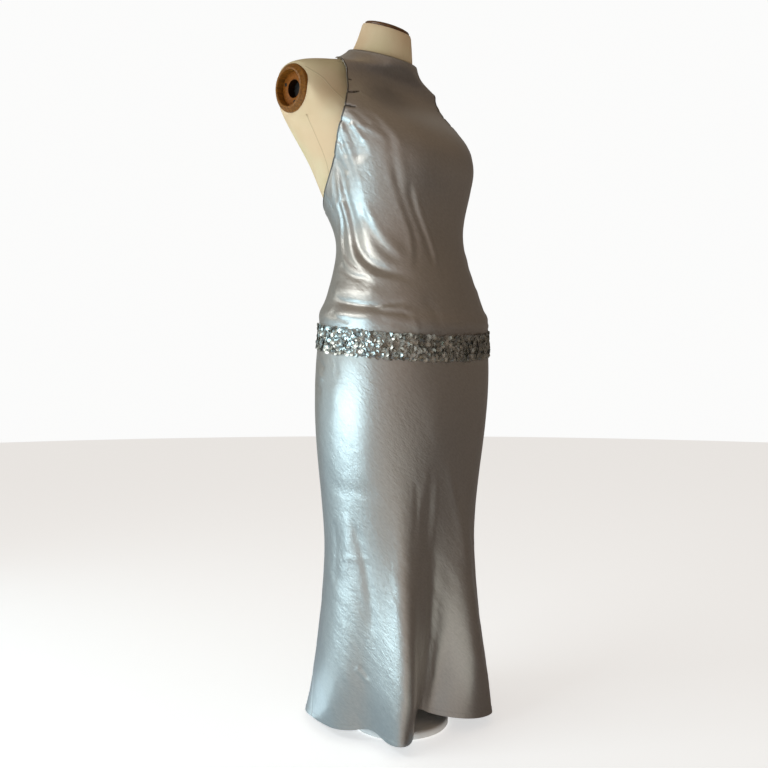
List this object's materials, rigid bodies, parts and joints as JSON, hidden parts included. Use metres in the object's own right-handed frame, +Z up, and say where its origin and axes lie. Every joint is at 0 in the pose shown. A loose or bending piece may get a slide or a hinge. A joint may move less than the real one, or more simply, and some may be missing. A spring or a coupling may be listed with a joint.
{
  "type": "halter gown with a sequin hip band on a limbless dress form",
  "caption": "Bias-cut satin halter gown with gathered armholes, low back, sequin hip band and fluted hem, on a limbless canvas dress form with wooden arm plates, a pole and a round base.",
  "frame": {"origin": "on the floor, under the centre of the stand's round base", "axes": "+Z up; the form faces -Y, with the wearer's left at +X"},
  "size_m": [0.4274, 0.3568, 1.4164],
  "materials": {
    "satin": "silver-grey silk satin, cut on the bias, soft sheen with a fine diagonal grain",
    "sequins": "backing cloth closely sewn with small silver cup sequins",
    "canvas": "cream cotton canvas over a hard form, with plain seams",
    "turned_wood": "turned and varnished wood, orange brown",
    "dark_wood": "turned wood stained dark brown",
    "steel": "brushed steel tube and flange",
    "stand_paint": "pale grey powder coat on a steel plate"
  },
  "bodies": {
    "root": {"bodice_front": "satin", "bodice_back": "satin", "skirt_front": "satin", "skirt_back": "satin", "neck_band": "satin", "neck_button": "satin", "armhole_binding_left": "satin", "armhole_binding_right": "satin", "back_edge_binding": "satin", "sequin_band": "sequins", "form_torso": "canvas", "neck_cap": "dark_wood", "arm_ring_left": "turned_wood", "arm_ring_right": "turned_wood", "arm_socket_left": "dark_wood", "arm_socket_right": "dark_wood", "stand_pole": "steel", "pole_flange": "steel", "stand_collar": "stand_paint", "stand_base": "stand_paint"}
  },
  "joints": []
}
